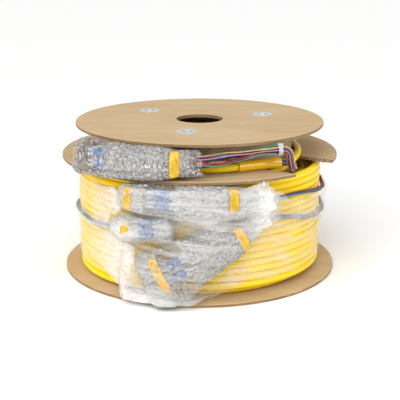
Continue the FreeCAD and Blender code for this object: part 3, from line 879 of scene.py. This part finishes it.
def film_veil(azimuth, z, stand_off):
    """How milky the film is, with a painted highlight on one bunched band: most at the front left, least
    over the bundles and at the edges.
    """
    left = bell(azimuth, -122, 18)
    # Painted highlight: where the film bunches between the bundles it is made fully white, partly its own
    # milkiness.
    bunched_band_and_highlight = bell(azimuth, -64, 9) * smooth((z - 92 * MM) / (30 * MM))
    under = max(bell(azimuth, -112, 15) * smooth((48 * MM - z) / (34 * MM)),
                bell(azimuth, -123, 9) * smooth((95 * MM - z) / (40 * MM)))
    middle = bell(azimuth, -72, 14) * smooth((z - 60 * MM) / (60 * MM))
    over = smooth((stand_off - 14 * MM) / (14 * MM)) * (1 - under)
    wedge = bell(azimuth, -90, 9) * bell(z, 134 * MM, 9 * MM)
    mouth = bell(azimuth, -119, 7) * bell(z, 112 * MM, 20 * MM)
    bare = bell(azimuth, -40, 24) * smooth((100 * MM - z) / (50 * MM))
    veil = 0.14 - 0.12 * bare + 0.80 * max(left, under, 0.40 * middle)
    veil += 0.22 * noise.noise(Vector((azimuth / 9, z / 0.03, 1)))
    return min(1, max(0, veil * (1 - 0.85 * over), bunched_band_and_highlight, 0.80 * wedge, 0.9 * mouth))


def make_film():
    columns, rows = 480, 130
    azimuths = np.linspace(-180, 180, columns, endpoint=False)
    heights = np.linspace(2 * MM, main_ceiling, 96)
    field = film_field(azimuths, heights)
    points, veils, flats = [], [], []
    for i in range(rows):
        share = i / (rows - 1)
        tuck = 0.3 + 0.7 * smooth(share / 0.04)
        for j, azimuth in enumerate(azimuths):
            low, high = film_edges(azimuth)
            z = low + (high - low) * share
            stand_off = float(np.interp(z, heights, field[:, j])) - winding_radius
            stand_off = max(stand_off, film_bag(azimuth, z))
            stand_off += 7 * MM * bell(azimuth, -20, 16) * bell(z, 0.128, 0.034)
            arc = winding_radius * math.radians(azimuth)
            slant = arc * 26 + z * 9
            wrinkle = 1.0 * MM * crease(slant, z * 75, 2.0) + 0.5 * MM * crease(arc * 90, z * 120, 8.0)
            radius = winding_radius + max(0.8 * MM, stand_off * tuck + 0.9 * MM + wrinkle)
            if radius < flange_radius + 1 * MM:
                z = max(z, main_floor + 1 * MM)
            points.append(polar(radius, azimuth, z))
            veils.append(film_veil(azimuth, z, stand_off))
            flats += [arc, z + 0.12 * arc, 0.0]
    piece = add_mesh("wrapping_film", points, grid_faces(rows, columns, True),
                     [materials["stretch_film"]])
    add_attribute(piece, "veil", "FLOAT", "value", veils)
    add_attribute(piece, "flat", "FLOAT_VECTOR", "vector", flats)
    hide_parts("stretch_film")


make_film()


# ---------------------------------------------------------------- wear
def slot_point(along, across, z):
    """A point in the slot's own directions: outwards along it and across it."""
    angle = math.radians(slot_angle)
    return Vector((along * math.cos(angle) - across * math.sin(angle),
                   along * math.sin(angle) + across * math.cos(angle), z))


def make_flakes(name, roots, material):
    """Small torn flakes: each root gives a place, a way out, a length and a width."""
    points, faces = [], []
    for place, way, length, width in roots:
        base = len(points)
        side = way.cross(Vector((rng.uniform(-0.4, 0.4), rng.uniform(-0.4, 0.4), 1))).normalized()
        curl = Vector((0, 0, rng.uniform(-0.5, 0.25)))
        for i in range(5):
            share = i / 4
            middle = place + way * (length * share) + curl * (length * share * share)
            half = 0.5 * width * (1 - 0.85 * share ** 1.5) * rng.uniform(0.8, 1.2)
            points += [middle - side * half, middle + way.cross(side) * (0.15 * half),
                       middle + side * half]
        faces += [tuple(base + k for k in face) for face in grid_faces(5, 3, False)]
    piece = add_mesh(name, points, faces, [material])
    solid = piece.modifiers.new("thickness", "SOLIDIFY")
    solid.thickness = 0.5 * MM


def random_way(main, spread):
    return (main + Vector([rng.uniform(-spread, spread) for _ in range(3)])).normalized()


def make_wear():
    inside = Vector(slot_point(0, 1, 0))
    far, near = slot_offset + slot_width / 2, slot_offset - slot_width / 2
    roots = []
    for _ in range(46):
        along = rng.triangular(0.172, 0.221, 0.216)
        z = main_ceiling + rng.uniform(0.3, 4.7) * MM
        roots.append((slot_point(along, far + 0.3 * MM, z), random_way(-inside, 0.6),
                      rng.uniform(1.5, 5.5) * MM, rng.uniform(0.8, 2.6) * MM))
    for _ in range(24):
        along = rng.triangular(0.165, 0.212, 0.208)
        z = main_ceiling + rng.uniform(0.3, 4.7) * MM
        roots.append((slot_point(along, near - 0.3 * MM, z), random_way(inside, 0.6),
                      rng.uniform(1.0, 3.5) * MM, rng.uniform(0.6, 2.0) * MM))
    make_flakes("torn_slot_fibres", roots, torn_board)
    chips = []
    for centre, height, count, spread in ((-47, 4.2, 13, 5), (-52, 4.4, 5, 3), (-137, 4.2, 4, 4),
                                          (-70, 191.6, 6, 3), (20, 191.6, 7, 6), (-30, 4.0, 6, 5)):
        for _ in range(count):
            azimuth = centre + rng.gauss(0, spread * 0.5)
            spot = polar(flange_radius - 0.4 * MM, azimuth, height * MM)
            along = polar(1, azimuth + 90, 0) * rng.choice((-1, 1))
            chips.append((spot, random_way(along + polar(0.25, azimuth, 0), 0.2),
                          rng.uniform(2, 5) * MM, rng.uniform(0.8, 1.8) * MM))
    make_flakes("rim_chips", chips, torn_board)


def make_scraps():
    """Torn ends of the film that stick up past the middle flange's rim."""
    scraps = []
    for _ in range(7):
        azimuth = -66 + rng.gauss(0, 0.9)
        spot = polar(flange_radius + rng.uniform(1, 3) * MM, azimuth, main_ceiling - 6 * MM)
        scraps.append((spot, random_way(Vector((0, 0, 1)), 0.3), rng.uniform(4, 10) * MM,
                       rng.uniform(1.5, 3) * MM))
    make_flakes("film_scraps", scraps, torn_film)


torn_film = speckled("torn_film", (0.80, 0.79, 0.76), (1.0, 1.0, 1.0), 300, 0.2)
torn_board = speckled("torn_board", (0.42, 0.27, 0.14), (0.80, 0.68, 0.52), 320, 0.9)
make_wear()
make_scraps()


# ---------------------------------------------------------------- stage
def make_stage():
    size = 30.0
    mesh = bpy.data.meshes.new("floor")
    mesh.from_pydata([(-size, -size, 0), (size, -size, 0), (size, size, 0), (-size, size, 0)],
                     [], [(0, 1, 2, 3)])
    floor = bpy.data.objects.new("floor", mesh)
    material, tree, shader = new_material("floor", 0.9, Specular_IOR_Level=0.1)
    shader.inputs["Base Color"].default_value = (0.96, 0.96, 0.955, 1)
    mesh.materials.append(material)
    bpy.context.collection.objects.link(floor)


def add_light(name, kind, energy, location, size, target=(0, 0, 0.1)):
    data = bpy.data.lights.new(name, kind)
    data.energy = energy
    if kind == "AREA":
        data.size = size
    else:
        data.angle = math.radians(size)
    light = bpy.data.objects.new(name, data)
    light.location = location
    way = Vector(target) - Vector(location)
    light.rotation_euler = way.to_track_quat("-Z", "Y").to_euler()
    bpy.context.collection.objects.link(light)


def light_scene():
    world = bpy.data.worlds.new("studio")
    world.use_nodes = True
    world.node_tree.nodes["Background"].inputs["Color"].default_value = (1, 1, 1, 1)
    world.node_tree.nodes["Background"].inputs["Strength"].default_value = 0.66
    bpy.context.scene.world = world
    add_light("overhead", "SUN", 1.7, (-0.7, -1.9, 2.0), 50)
    add_light("key", "AREA", 7.0, (-1.1, -1.3, 1.3), 0.4)
    add_light("fill", "AREA", 5.0, (1.3, -1.1, 0.8), 0.5)
    bpy.context.scene.view_settings.view_transform = "Standard"


make_stage()
light_scene()
